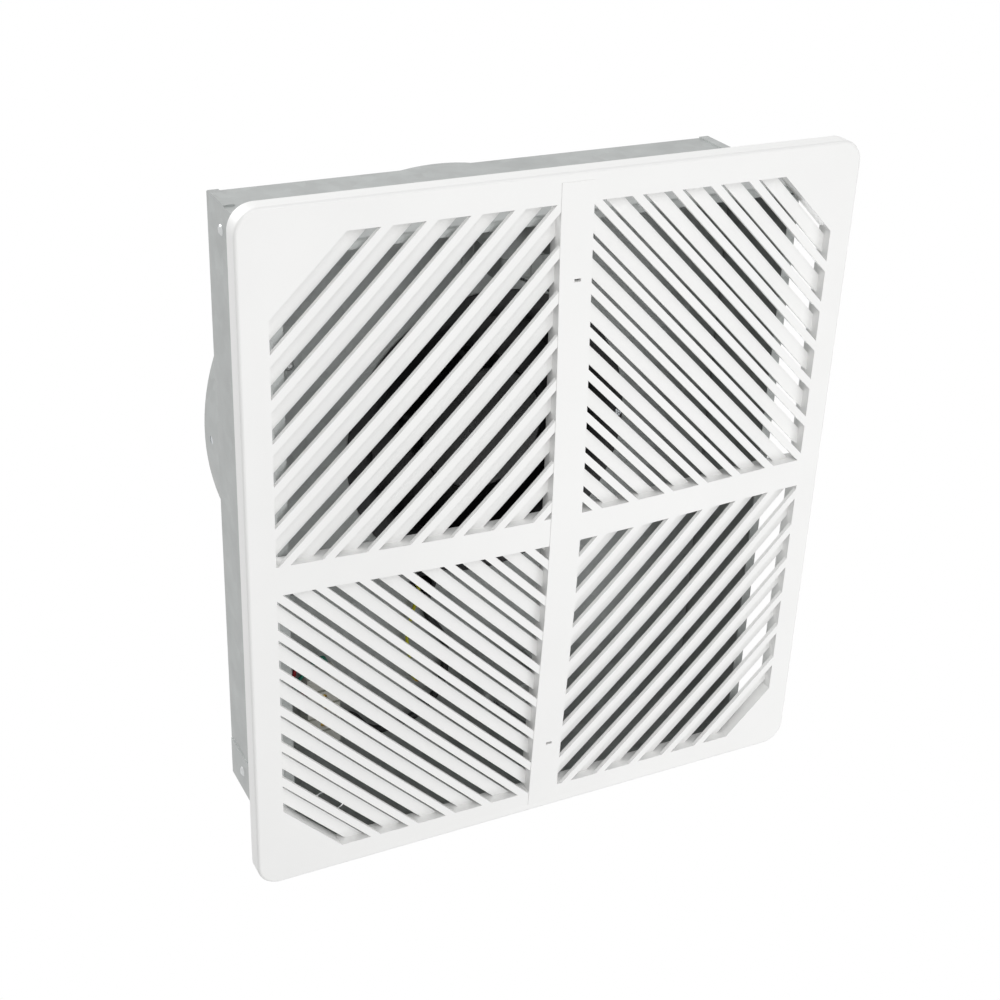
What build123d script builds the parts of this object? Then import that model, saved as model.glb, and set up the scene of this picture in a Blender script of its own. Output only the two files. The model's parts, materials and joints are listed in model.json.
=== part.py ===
"""Ceiling exhaust fan with a domed lattice grille, a sheet-metal housing and a round outlet drum.

Millimetres, +Z up into the ceiling space. The origin is the centre of the housing's mouth, in the
plane of the ceiling (z = 0). The grille hangs below it, and the outlet drum stands above it.
"""

from math import atan2, cos, degrees, pi, radians, sin, sqrt, tan
import os

from build123d import *

os.makedirs("parts", exist_ok=True)

# Housing, folded from galvanised sheet
housing_width = 360.0  # X, between two joists
housing_length = 436.0  # Y
housing_height = 113.0  # Z, from the ceiling plane to the top plate
sheet = 1.0
fold_radius = 2.0
hem_width = 6.0
tab_length = 30.0
tab_drop = 45.0
corner_fold_width = 7.0
corner_fold_drop = 33.0
rivet_edge_top_plate = 26.0
rivet_edge_wall = 16.5
suspension_hole_radius = 4.0
suspension_edge = 15.0
knockout_radius = 11.0
knockout_cut = 1.0
knockout_tie = 3.0
knockout_x = -130.0
knockout_z = 50.0

# Fan deck with its inlet, and the axis of everything round
axis_y = -37.5
deck_height = 75.6
deck_flange = 18.0
inlet_radius = 82.0
inlet_bell_radius = 14.5
inlet_flange_radius = 104.6
inlet_wall = 1.5
inlet_throat_length = 1.6
inlet_screw_count = 6

# Impeller and external-rotor motor
impeller_radius = 135.0
impeller_gap = 1.5  # between the inlet's throat and the shroud's lip
shroud_overlap = 4.6
shroud_wall = 1.5
shroud_rise = 14.5
blade_width = 24.0  # at the rim
blade_thickness = 2.0
blade_count = 9
blade_inner_radius = 90.0
blade_curve = 70.0
backplate = 2.0
rotor_radius = 46.0
rotor_wall = 3.0
rotor_length = 42.0
rotor_flange_radius = 56.0
rotor_screw_radius = 51.0
rotor_screw_count = 4
shaft_radius = 5.0
bearing_clearance = 0.05
core_gap = 3.0
stator_gap = 1.0
stator_flange_radius = 42.0
stator_flange = 4.0
motor_screw_radius = 34.0
motor_screw_count = 4
cable_boss = 20.0
cable_boss_height = 8.5

# Motor spider in the drum
spider_thickness = 2.0
spider_hub_radius = 48.0
spider_arm_width = 24.0
spider_leg = 36.0
spider_turn = 23.0
spider_rivet_drop = 28.0
cable_slot_length = 20.0
cable_slot_width = 9.0
cable_slot_place = 145.0

# Outlet drum and butterfly damper
drum_radius = 171.8
drum_above_housing = 57.0
drum_shift = 8.8  # the drum stands this far behind the wheel
drum_flange = 11.0
drum_bead = 2.2
drum_rivet_count = 6
plate_clearance = 0.4
seat_width = 10.0
seat_leg = 6.0
seat_below_top = 20.0
flap_seat_gap = 0.3
flap_edge_gap = 2.0
flap_middle_gap = 0.8
rod_radius = 3.0
rod_clearance = 0.06
knuckle_wall = 1.6
knuckle_length = 24.0
knuckle_places = (-110.0, 50.0)
knuckle_notch_gap = 1.0
flap_rib_height = 2.0
flap_rib_width = 8.0

# Grille, one moulding
grille_width = 420.0
grille_length = 469.0
grille_shift_x = 5.9
grille_shift_y = -12.6
rim_depth = 12.6
rim_round = 2.0
corner_radius = 15.5
skin = 2.9
crown_rise = 10.0
crown_power = 1.45
crown_inset = 6.0
crown_points = 13
border_left = 18.5
border_right = 17.2
border_front = 19.0
border_rear = 17.0
bar_width_x = 22.3
bar_width_y = 20.1
bar_shift_x = 2.5
bar_shift_y = 1.3
band_proud = 0.5
window_wall = 2.0
window_wall_depth = 12.2
lattice_shift = 4.0
slat_pitch = 19.87
first_slat = 4.4
front_slat_width = 5.1
rear_slat_width = 8.8
rear_slat_level = 6.5
slat_count = 12
release_slot_length = 4.6
release_slot_width = 2.0
release_slot_front = -167.5
release_slot_rear = 176.5

# Torsion springs that hold the grille up
spring_wire = 1.6
spring_knee = 0.84
spring_coil_radius = 4.6
spring_turns = 4
spring_pitch = 2.2
spring_lean = 15.0
spring_top_gap = 16.0
spring_post_radius = 3.4
spring_ear = 2.0
spring_ear_width = 9.0
spring_side_gap = 0.6
spring_lift = 9.0
bracket_width = 50.0
bracket_depth = 16.0
bracket_drop = 40.0
bracket_foot = 9.0
bracket_slot_inner = 5.0
bracket_slot_outer = 19.0
bracket_slot_width = 12.0

# Wiring in the housing
block_x = -129.0
block_y = 146.0
block_width = 24.0
block_length = 56.0
block_height = 16.0
block_poles = 5
block_screw_radius = 2.6
cable_radius = 3.0
wire_radius = 1.3
wire_gap = 0.1
cable_gap = 0.3
grommet_x = -48.0
grommet_y = 70.0
grommet_radius = 10.0
grommet_lip = 1.6
earth_screw_x = -50.0
earth_screw_y = 148.0

# Fasteners
rivet_head_radius = 3.6
rivet_head_height = 1.4
rivet_shank_radius = 2.0
rivet_tail_radius = 2.9
rivet_tail_height = 1.0
tail_gap = 0.05  # a flat tail stands off a hollow wall by this
screw_head_radius = 3.0
screw_head_height = 1.6
screw_shank_radius = 1.5
screw_tip = 3.0
hole_clearance = 0.05

# Places worked out from the sizes above
half_width = housing_width / 2
half_length = housing_length / 2
deck_top = deck_height + sheet
drum_top = housing_height + drum_above_housing
drum_bore = drum_radius - sheet
drum_y = axis_y + drum_shift
rivet_z = housing_height - rivet_edge_top_plate
rivet_front_y = -half_length + rivet_edge_wall
rivet_rear_y = half_length - rivet_edge_wall
throat_z = deck_height + inlet_bell_radius - inlet_wall
throat_top = throat_z + inlet_throat_length
shroud_bottom = throat_top - shroud_overlap
shroud_lip = inlet_radius + inlet_wall + impeller_gap
shroud_top = shroud_bottom + shroud_rise
backplate_bottom = shroud_top + blade_width
backplate_top = backplate_bottom + backplate
rotor_flange_top = backplate_top + rotor_wall
rotor_bottom = backplate_top - rotor_length
stator_seat = rotor_flange_top + stator_gap
spider_bottom = stator_seat + stator_flange
spider_top = spider_bottom + spider_thickness
seat_top = drum_top - seat_below_top
flap_bottom = seat_top + flap_seat_gap
knuckle_radius = rod_radius + rod_clearance + knuckle_wall
rod_z = flap_bottom + knuckle_radius
face_z = -rim_depth
crown_width = grille_width - 2 * crown_inset
crown_length = grille_length - 2 * crown_inset
block_bottom = deck_height - block_height
cable_z = deck_height - cable_radius - cable_gap
wire_z = deck_height - wire_radius - cable_gap
QUADRANTS = ((-1, -1), (1, -1), (-1, 1), (1, 1))


def round_plane(
    angle: float, radius: float, z: float, outward: bool = False, centre_y: float = axis_y
) -> Plane:
    """A plane at one angle round the wheel's or the drum's axis, facing up or outward."""
    away = Vector(cos(radians(angle)), sin(radians(angle)), 0)
    origin = (away.X * radius, centre_y + away.Y * radius, z)
    if outward:
        return Plane(origin, x_dir=(0, 0, 1), z_dir=away)
    return Plane(origin, x_dir=away, z_dir=(0, 0, 1))


def add_rivet(seat: Plane, grip: float) -> None:
    """Adds a round-head rivet: its head sits on the seat, its shank runs back through the grip."""
    half = Plane(seat.origin, x_dir=seat.x_dir, z_dir=-seat.y_dir)
    end = -grip - rivet_tail_height
    with BuildSketch(half) as profile:
        with BuildLine():
            ThreePointArc(
                (0, rivet_head_height),
                (rivet_head_radius * 0.7, rivet_head_height * 0.7),
                (rivet_head_radius, 0),
            )
            Polyline(
                (rivet_head_radius, 0),
                (rivet_shank_radius, 0),
                (rivet_shank_radius, -grip),
                (rivet_tail_radius, -grip),
                (rivet_tail_radius, end),
                (0, end),
                (0, rivet_head_height),
            )
        make_face()
    revolve(profile.sketch, axis=Axis(seat.origin, seat.z_dir))


def add_screw(seat: Plane, grip: float) -> None:
    """Adds a pan-head screw: its head sits on the seat, and its point shows past the grip."""
    half = Plane(seat.origin, x_dir=seat.x_dir, z_dir=-seat.y_dir)
    with BuildSketch(half) as profile:
        with BuildLine():
            Polyline(
                (0, screw_head_height),
                (screw_head_radius * 0.75, screw_head_height),
                (screw_head_radius, screw_head_height * 0.5),
                (screw_head_radius, 0),
                (screw_shank_radius, 0),
                (screw_shank_radius, -grip - screw_tip * 0.5),
                (0, -grip - screw_tip),
                (0, screw_head_height),
            )
        make_face()
    revolve(profile.sketch, axis=Axis(seat.origin, seat.z_dir))


def save(part: Part, name: str) -> None:
    """Labels a finished piece and writes it as one STEP file."""
    part.label = name
    export_step(part, f"parts/{name}.step")
    print(name, len(part.solids()), round(part.volume))


# Housing wrap: top plate, front and rear walls and their hems, folded from one sheet
with BuildPart() as housing_wrap:
    with BuildSketch(Plane.YZ):
        with BuildLine():
            FilletPolyline(
                (-half_length + hem_width, 0),
                (-half_length, 0),
                (-half_length, housing_height),
                (half_length, housing_height),
                (half_length, 0),
                (half_length - hem_width, 0),
                radius=fold_radius,
            )
            offset(amount=sheet, side=Side.RIGHT)
        make_face()
    extrude(amount=half_width - sheet, both=True)
    # The rear wall runs on round the side panels, and its tabs lie outside them
    for side in (-1, 1):
        with BuildSketch(Plane.XY.offset(housing_height - tab_drop)):
            with Locations((side * half_width, half_length - sheet / 2)):
                Rectangle(2 * sheet, sheet)
            with Locations((side * (half_width + sheet / 2), half_length - tab_length / 2)):
                Rectangle(sheet, tab_length)
        extrude(amount=tab_drop - fold_radius)
        # The front wall's tabs lie inside the side panels
        with BuildSketch(Plane.XY.offset(housing_height - tab_drop)):
            with Locations((side * (half_width - 1.5 * sheet), -half_length + tab_length / 2)):
                Rectangle(sheet, tab_length)
        extrude(amount=tab_drop - 1.5 * sheet)
    with BuildSketch(Plane.XY.offset(housing_height)):
        with Locations((0, drum_y)):
            Circle(drum_radius + plate_clearance)
        with GridLocations(
            2 * (half_width - suspension_edge), 2 * (half_length - suspension_edge), 2, 2
        ):
            Circle(suspension_hole_radius)
    extrude(amount=-sheet, mode=Mode.SUBTRACT)
    # Corner rivet holes through the tabs
    for y in (rivet_front_y, rivet_rear_y):
        with BuildSketch(Plane.YZ.offset(-half_width - 2 * sheet)):
            with Locations((y, rivet_z)):
                Circle(rivet_shank_radius + hole_clearance)
        extrude(amount=housing_width + 4 * sheet, mode=Mode.SUBTRACT)
    # A supply knockout in the rear wall: a ring cut with two ties left
    with BuildSketch(Plane.XZ.offset(-half_length)):
        with Locations((knockout_x, knockout_z)):
            Circle(knockout_radius)
            Circle(knockout_radius - knockout_cut, mode=Mode.SUBTRACT)
            Rectangle(3 * knockout_radius, knockout_tie, mode=Mode.SUBTRACT)
    extrude(amount=sheet, mode=Mode.SUBTRACT)
save(housing_wrap.part, "housing_wrap")

# Side panels: wall, hem below, flange under the top plate, and a corner fold on the front wall
for side, name in ((-1, "side_panel_left"), (1, "side_panel_right")):
    with BuildPart() as side_panel:
        with BuildSketch(Plane.XY):
            with Locations((side * (half_width - sheet / 2), -sheet / 2)):
                Rectangle(sheet, housing_length - sheet)
        extrude(amount=housing_height)
        with BuildSketch(Plane.XY):
            with Locations((side * (half_width - sheet - hem_width / 2), 0)):
                Rectangle(hem_width, housing_length - 2 * (hem_width + sheet))
        extrude(amount=sheet)
        with BuildSketch(Plane.XY.offset(housing_height - 2 * sheet)):
            with Locations((side * (half_width - sheet - hem_width), 0)):
                Rectangle(2 * hem_width, housing_length - 2 * (tab_length + sheet))
            with Locations((0, drum_y)):
                Circle(drum_radius + plate_clearance, mode=Mode.SUBTRACT)
        extrude(amount=sheet)
        with BuildSketch(Plane.XY.offset(housing_height - corner_fold_drop)):
            with Locations((side * (half_width - corner_fold_width / 2), -half_length - sheet / 2)):
                Rectangle(corner_fold_width, sheet)
        extrude(amount=corner_fold_drop - fold_radius)
        with BuildSketch(Plane.YZ.offset(side * (half_width - sheet))):
            with Locations((rivet_front_y, rivet_z), (rivet_rear_y, rivet_z)):
                Circle(rivet_shank_radius + hole_clearance)
        extrude(amount=side * sheet, mode=Mode.SUBTRACT)
    save(side_panel.part, name)

# Fan deck: a tray with flanges turned up, a hole for the inlet, one for the cable
deck_width = housing_width - 4 * sheet
deck_length = housing_length - 2 * sheet
with BuildPart() as fan_deck:
    with BuildSketch(Plane.XY.offset(deck_height)):
        Rectangle(deck_width, deck_length)
    extrude(amount=sheet)
    with BuildSketch(Plane.XY.offset(deck_height)):
        Rectangle(deck_width, deck_length)
        Rectangle(deck_width - 2 * sheet, deck_length - 2 * sheet, mode=Mode.SUBTRACT)
        with GridLocations(deck_width, deck_length, 2, 2):
            Rectangle(2 * sheet, 2 * fold_radius, mode=Mode.SUBTRACT)
    extrude(amount=deck_flange)
    with BuildSketch(Plane.XY.offset(deck_height)):
        with Locations((0, axis_y)):
            Circle(inlet_radius + inlet_bell_radius + hole_clearance)
            with PolarLocations((inlet_radius + inlet_bell_radius + inlet_flange_radius) / 2,
                                inlet_screw_count):
                Circle(screw_shank_radius + hole_clearance)
        with Locations((0, drum_y)):
            with PolarLocations(drum_bore - drum_flange / 2, drum_rivet_count, start_angle=30):
                Circle(rivet_shank_radius + hole_clearance)
        with Locations((grommet_x, grommet_y)):
            Circle(grommet_radius - grommet_lip)
        with Locations((earth_screw_x, earth_screw_y)):
            Circle(screw_shank_radius + hole_clearance)
    extrude(amount=sheet, mode=Mode.SUBTRACT)
    for side in (-1, 1):
        with BuildSketch(Plane.YZ.offset(side * (deck_width / 2 - sheet))):
            with Locations((rivet_front_y, rivet_z), (rivet_rear_y, rivet_z)):
                Circle(rivet_shank_radius + hole_clearance)
        extrude(amount=side * sheet, mode=Mode.SUBTRACT)
save(fan_deck.part, "fan_deck")

# Corner rivets: at the front through panel, tab and deck, at the rear through tab, panel and deck
with BuildPart() as corner_rivets:
    for side in (-1, 1):
        for y, face in ((rivet_front_y, half_width), (rivet_rear_y, half_width + sheet)):
            add_rivet(
                Plane((side * face, y, rivet_z), x_dir=(0, 0, 1), z_dir=(side, 0, 0)),
                face - deck_width / 2 + sheet,
            )
save(corner_rivets.part, "corner_rivets")

# Inlet ring: a flange under the deck and a bell mouth up to the throat
bell_centre = inlet_radius + inlet_bell_radius
bell_outer = inlet_bell_radius - inlet_wall
flange_bottom = deck_height - inlet_wall
with BuildPart() as inlet_ring:
    with BuildSketch(Plane.XZ):
        with BuildLine():
            Line((inlet_flange_radius, deck_height), (inlet_flange_radius, flange_bottom))
            Line((inlet_flange_radius, flange_bottom), (bell_centre, flange_bottom))
            RadiusArc(
                (bell_centre, flange_bottom), (inlet_radius, throat_z), inlet_bell_radius
            )
            Polyline(
                (inlet_radius, throat_z),
                (inlet_radius, throat_top),
                (inlet_radius + inlet_wall, throat_top),
                (inlet_radius + inlet_wall, throat_z),
            )
            RadiusArc((inlet_radius + inlet_wall, throat_z), (bell_centre, deck_height), -bell_outer)
            Line((bell_centre, deck_height), (inlet_flange_radius, deck_height))
        make_face()
    revolve(axis=Axis.Z)
    with BuildSketch(Plane.XY.offset(flange_bottom)):
        with PolarLocations((bell_centre + inlet_flange_radius) / 2, inlet_screw_count):
            Circle(screw_shank_radius + hole_clearance)
    extrude(amount=inlet_wall, mode=Mode.SUBTRACT)
inlet_ring.part.position = (0, axis_y, 0)
save(inlet_ring.part, "inlet_ring")

with BuildPart() as inlet_screws:
    for turn in range(inlet_screw_count):
        seat = round_plane(
            360 / inlet_screw_count * turn, (bell_centre + inlet_flange_radius) / 2, flange_bottom
        )
        add_screw(Plane(seat.origin, x_dir=seat.x_dir, z_dir=-seat.z_dir), inlet_wall + sheet)
save(inlet_screws.part, "inlet_screws")

# Impeller shroud: lip round the throat, flaring to the rim
with BuildPart() as impeller_shroud:
    with BuildSketch(Plane.XZ):
        with BuildLine():
            Line((shroud_lip, shroud_bottom), (shroud_lip + shroud_wall, shroud_bottom))
            Bezier(
                (shroud_lip + shroud_wall, shroud_bottom),
                (shroud_lip + shroud_wall, shroud_top - shroud_wall),
                (impeller_radius, shroud_top - shroud_wall),
            )
            Line((impeller_radius, shroud_top - shroud_wall), (impeller_radius, shroud_top))
            Bezier(
                (impeller_radius, shroud_top),
                (shroud_lip, shroud_top),
                (shroud_lip, shroud_bottom),
            )
        make_face()
    revolve(axis=Axis.Z)
impeller_shroud.part.position = (0, axis_y, 0)
save(impeller_shroud.part, "impeller_shroud")

# Impeller: a back plate with backward-curved blades trimmed to the shroud
with BuildPart() as impeller:
    with BuildSketch(Plane.XY.offset(backplate_bottom)):
        Circle(impeller_radius)
    extrude(amount=backplate)
    with BuildSketch(Plane.XY.offset(shroud_bottom)) as blades:
        with BuildLine():
            blade_line = RadiusArc(
                (blade_inner_radius, 0),
                Vector(impeller_radius - blade_thickness, 0).rotate(Axis.Z, -40),
                blade_curve,
            )
            offset(blade_line, amount=blade_thickness, side=Side.LEFT)
        make_face()
        blade = blades.sketch.faces()[0]
        with PolarLocations(0, blade_count):
            add(blade)
    extrude(amount=backplate_bottom - shroud_bottom)
    with BuildSketch(Plane.XZ):
        with BuildLine():
            Polyline(
                (impeller_radius + backplate, shroud_top),
                (impeller_radius + backplate, shroud_bottom - backplate),
                (0, shroud_bottom - backplate),
                (0, shroud_bottom),
                (shroud_lip, shroud_bottom),
            )
            Bezier(
                (shroud_lip, shroud_bottom),
                (shroud_lip, shroud_top),
                (impeller_radius, shroud_top),
            )
            Line((impeller_radius, shroud_top), (impeller_radius + backplate, shroud_top))
        make_face()
    revolve(axis=Axis.Z, mode=Mode.SUBTRACT)
    with BuildSketch(Plane.XY.offset(backplate_bottom)):
        Circle(rotor_radius + hole_clearance)
        with PolarLocations(rotor_screw_radius, rotor_screw_count):
            Circle(screw_shank_radius + hole_clearance)
    extrude(amount=backplate, mode=Mode.SUBTRACT)
impeller.part.position = (0, axis_y, 0)
save(impeller.part, "impeller")

# Motor rotor: a deep can hung in the wheel by its flange, with the shaft up its middle
with BuildPart() as motor_rotor:
    with BuildSketch(Plane.XZ):
        ring_points = (
            (0, rotor_bottom),
            (rotor_radius, rotor_bottom),
            (rotor_radius, backplate_top),
            (rotor_flange_radius, backplate_top),
            (rotor_flange_radius, rotor_flange_top),
            (rotor_radius - rotor_wall, rotor_flange_top),
            (rotor_radius - rotor_wall, rotor_bottom + rotor_wall),
            (shaft_radius, rotor_bottom + rotor_wall),
            (shaft_radius, stator_seat + stator_flange / 2),
            (0, stator_seat + stator_flange / 2),
        )
        with BuildLine():
            Polyline(*ring_points, close=True)
        make_face()
    revolve(axis=Axis.Z)
    fillet(motor_rotor.edges().filter_by(GeomType.CIRCLE).group_by(Axis.Z)[0], rotor_wall)
    with BuildSketch(Plane.XY.offset(backplate_top)):
        with PolarLocations(rotor_screw_radius, rotor_screw_count):
            Circle(screw_shank_radius + hole_clearance)
    extrude(amount=rotor_wall, mode=Mode.SUBTRACT)
motor_rotor.part.position = (0, axis_y, 0)
save(motor_rotor.part, "motor_rotor")

with BuildPart() as rotor_screws:
    for turn in range(rotor_screw_count):
        seat = round_plane(360 / rotor_screw_count * turn, rotor_screw_radius, backplate_bottom)
        add_screw(
            Plane(seat.origin, x_dir=seat.x_dir, z_dir=-seat.z_dir), backplate + rotor_wall - screw_tip
        )
save(rotor_screws.part, "rotor_screws")

# Motor stator: core round the shaft, neck out of the can, flange and cable boss
core_radius = rotor_radius - rotor_wall - core_gap
neck_radius = core_radius * 0.6
with BuildPart() as motor_stator:
    with BuildSketch(Plane.XZ):
        with BuildLine():
            Polyline(
                (shaft_radius + bearing_clearance, rotor_bottom + rotor_wall + core_gap),
                (core_radius, rotor_bottom + rotor_wall + core_gap),
                (core_radius, backplate_bottom - core_gap),
                (neck_radius, backplate_bottom - core_gap),
                (neck_radius, stator_seat),
                (stator_flange_radius, stator_seat),
                (stator_flange_radius, spider_bottom),
                (0, spider_bottom),
                (0, stator_seat + stator_flange / 2 + bearing_clearance),
                (shaft_radius + bearing_clearance, stator_seat + stator_flange / 2 + bearing_clearance),
                close=True,
            )
        make_face()
    revolve(axis=Axis.Z)
    with BuildSketch(Plane.XY.offset(spider_bottom)):
        Rectangle(cable_boss, cable_boss, rotation=spider_turn)
    extrude(amount=cable_boss_height)
    with BuildSketch(Plane.XY.offset(spider_bottom)):
        with PolarLocations(motor_screw_radius, motor_screw_count, start_angle=spider_turn + 45):
            Circle(screw_shank_radius + hole_clearance)
    extrude(amount=-stator_flange, mode=Mode.SUBTRACT)
motor_stator.part.position = (0, axis_y, 0)
save(motor_stator.part, "motor_stator")

# Motor spider: hub plate and four arms, each bent down on the drum's wall; the cable passes one arm
arm_reach = drum_bore + drum_shift


def arm_angle(turn: int) -> float:
    """The angle round the drum's axis at which one arm's middle meets the drum's wall."""
    arm_turn = radians(90 * turn + spider_turn)
    reach = drum_shift * sin(arm_turn) + sqrt(drum_bore**2 - (drum_shift * cos(arm_turn)) ** 2)
    return degrees(atan2(reach * sin(arm_turn) - drum_shift, reach * cos(arm_turn)))


def spider_seat(turn: int, radius: float) -> Plane:
    """The plane of one arm's rivet on the drum's wall, facing outward."""
    return round_plane(arm_angle(turn), radius, spider_top - spider_rivet_drop, True, drum_y)


with BuildPart() as motor_spider:
    with BuildSketch(Plane.XY.offset(spider_bottom)):
        Circle(spider_hub_radius)
        with PolarLocations(arm_reach / 2, 4, start_angle=spider_turn):
            Rectangle(arm_reach, spider_arm_width)
        with Locations((0, drum_shift)):
            Circle(drum_bore, mode=Mode.INTERSECT)
        Rectangle(cable_boss, cable_boss, rotation=spider_turn, mode=Mode.SUBTRACT)
        with PolarLocations(cable_slot_place, 1, start_angle=spider_turn + 90):
            SlotOverall(cable_slot_length, cable_slot_width, mode=Mode.SUBTRACT)
        with PolarLocations(motor_screw_radius, motor_screw_count, start_angle=spider_turn + 45):
            Circle(screw_shank_radius + hole_clearance, mode=Mode.SUBTRACT)
    extrude(amount=spider_thickness)
    with BuildSketch(Plane.XY.offset(spider_top)):
        with PolarLocations(arm_reach / 2, 4, start_angle=spider_turn):
            Rectangle(arm_reach, spider_arm_width)
        with Locations((0, drum_shift)):
            Circle(drum_bore, mode=Mode.INTERSECT)
            Circle(drum_bore - spider_thickness, mode=Mode.SUBTRACT)
    extrude(amount=-spider_leg)
    for turn in range(4):
        seat = spider_seat(turn, drum_bore)
        with BuildSketch(Plane(seat.origin - Vector(0, axis_y), x_dir=seat.x_dir, z_dir=seat.z_dir)):
            Circle(rivet_shank_radius + hole_clearance)
        extrude(amount=-2 * spider_thickness, mode=Mode.SUBTRACT)
motor_spider.part.position = (0, axis_y, 0)
save(motor_spider.part, "motor_spider")

with BuildPart() as motor_screws:
    for turn in range(motor_screw_count):
        add_screw(
            round_plane(
                360 / motor_screw_count * turn + spider_turn + 45, motor_screw_radius, spider_top
            ),
            spider_thickness + stator_flange - screw_tip,
        )
save(motor_screws.part, "motor_screws")

# Outlet drum: inner flange on the deck, wall, rolled bead on the top plate
bead_z = housing_height + drum_bead
with BuildPart() as outlet_drum:
    with BuildSketch(Plane.XZ):
        with BuildLine():
            Polyline(
                (drum_bore, bead_z - drum_bead),
                (drum_bore, deck_top + sheet),
                (drum_bore - drum_flange, deck_top + sheet),
                (drum_bore - drum_flange, deck_top),
                (drum_radius, deck_top),
                (drum_radius, bead_z - drum_bead),
            )
            ThreePointArc(
                (drum_radius, bead_z - drum_bead),
                (drum_radius + drum_bead, bead_z),
                (drum_radius, bead_z + drum_bead),
            )
            Polyline(
                (drum_radius, bead_z + drum_bead),
                (drum_radius, drum_top),
                (drum_bore, drum_top),
                (drum_bore, bead_z + drum_bead),
            )
            ThreePointArc(
                (drum_bore, bead_z + drum_bead),
                (drum_bore + drum_bead * 0.6, bead_z),
                (drum_bore, bead_z - drum_bead),
            )
        make_face()
    revolve(axis=Axis.Z)
    with BuildSketch(Plane.XY.offset(deck_top)):
        with PolarLocations(drum_bore - drum_flange / 2, drum_rivet_count, start_angle=30):
            Circle(rivet_shank_radius + hole_clearance)
    extrude(amount=sheet, mode=Mode.SUBTRACT)
    for turn in range(4):
        seat = spider_seat(turn, drum_bore)
        with BuildSketch(Plane(seat.origin - Vector(0, drum_y), x_dir=seat.x_dir, z_dir=seat.z_dir)):
            Circle(rivet_shank_radius + hole_clearance)
        extrude(amount=2 * sheet, mode=Mode.SUBTRACT)
    with BuildSketch(Plane.YZ.offset(-drum_radius)):
        with Locations((0, rod_z)):
            Circle(rod_radius + rod_clearance)
    extrude(amount=2 * drum_radius, mode=Mode.SUBTRACT)
outlet_drum.part.position = (0, drum_y, 0)
save(outlet_drum.part, "outlet_drum")

with BuildPart() as drum_rivets:
    for turn in range(drum_rivet_count):
        seat = round_plane(
            360 / drum_rivet_count * turn + 30,
            drum_bore - drum_flange / 2,
            deck_height,
            centre_y=drum_y,
        )
        add_rivet(Plane(seat.origin, x_dir=seat.x_dir, z_dir=-seat.z_dir), 2 * sheet)
save(drum_rivets.part, "drum_rivets")

with BuildPart() as spider_rivets:
    for turn in range(4):
        add_rivet(spider_seat(turn, drum_radius), sheet + spider_thickness + tail_gap)
save(spider_rivets.part, "spider_rivets")

# Damper seat: an angle ring in the drum that the flaps close on
with BuildPart() as damper_seat:
    with BuildSketch(Plane.XZ):
        with BuildLine():
            Polyline(
                (drum_bore - seat_width, seat_top),
                (drum_bore - seat_width, seat_top - sheet),
                (drum_bore - sheet, seat_top - sheet),
                (drum_bore - sheet, seat_top - seat_leg),
                (drum_bore, seat_top - seat_leg),
                (drum_bore, seat_top),
                close=True,
            )
        make_face()
    revolve(axis=Axis.Z)
damper_seat.part.position = (0, drum_y, 0)
save(damper_seat.part, "damper_seat")

# Damper rod across the drum
with BuildPart() as damper_rod:
    with BuildSketch(Plane.YZ):
        with Locations((drum_y, rod_z)):
            Circle(rod_radius)
    extrude(amount=drum_radius - sheet / 4, both=True)
save(damper_rod.part, "damper_rod")

# Damper flaps: half discs with a pressed rib and two knuckles round the rod
flap_radius = drum_bore - flap_edge_gap
for name, facing in (("damper_flap_front", 0), ("damper_flap_rear", 180)):
    with BuildPart() as flap:
        with BuildSketch(Plane.XY.offset(flap_bottom)):
            Circle(flap_radius)
            with Locations((0, flap_radius)):
                Rectangle(2 * flap_radius, 2 * flap_radius + flap_middle_gap, mode=Mode.SUBTRACT)
            for place in knuckle_places:
                with Locations((-place, 0)):
                    Rectangle(
                        knuckle_length + 2 * knuckle_notch_gap,
                        2 * (knuckle_radius + knuckle_notch_gap),
                        mode=Mode.SUBTRACT,
                    )
        extrude(amount=sheet)
        # A rolled stiffening rib half way out
        with BuildSketch(Plane.XY.offset(flap_bottom)):
            with Locations((0, -flap_radius / 2)):
                SlotOverall(flap_radius * 1.3, flap_rib_width)
        extrude(amount=sheet + flap_rib_height, taper=20)
        for place in knuckle_places:
            with BuildSketch(Plane.YZ.offset(place - knuckle_length / 2)):
                with Locations((0, rod_z)):
                    Circle(knuckle_radius)
                with Locations((-knuckle_radius, flap_bottom + sheet / 2)):
                    Rectangle(2 * knuckle_radius, sheet)
            extrude(amount=knuckle_length)
        with BuildSketch(Plane.YZ.offset(-flap_radius)):
            with Locations((0, rod_z)):
                Circle(rod_radius + rod_clearance)
        extrude(amount=2 * flap_radius, mode=Mode.SUBTRACT)
    flap.part.orientation = (0, 0, facing)
    flap.part.position = (0, drum_y, 0)
    save(flap.part, name)


def crown(x: float, y: float) -> float:
    """How far the grille's face stands out below its rim, by the place on it."""
    across = max(cos(pi * x / crown_width), 0.0)
    along = max(cos(pi * y / crown_length), 0.0)
    return crown_rise * (across * along) ** crown_power


crown_face = Face.make_surface_from_array_of_points(
    [
        [
            Vector(
                crown_width * (column / (crown_points - 1) - 0.5),
                crown_length * (row / (crown_points - 1) - 0.5),
                face_z
                - crown(
                    crown_width * (column / (crown_points - 1) - 0.5),
                    crown_length * (row / (crown_points - 1) - 0.5),
                ),
            )
            for column in range(crown_points)
        ]
        for row in range(crown_points)
    ],
    tol=0.01,
)


def crown_slab(start: float, depth: float) -> Solid:
    """The domed layer of the grille from one depth behind its face to a deeper one."""
    slab = Solid.extrude(crown_face, Vector(0, 0, depth))
    return slab.moved(Location((0, 0, start)))


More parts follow.
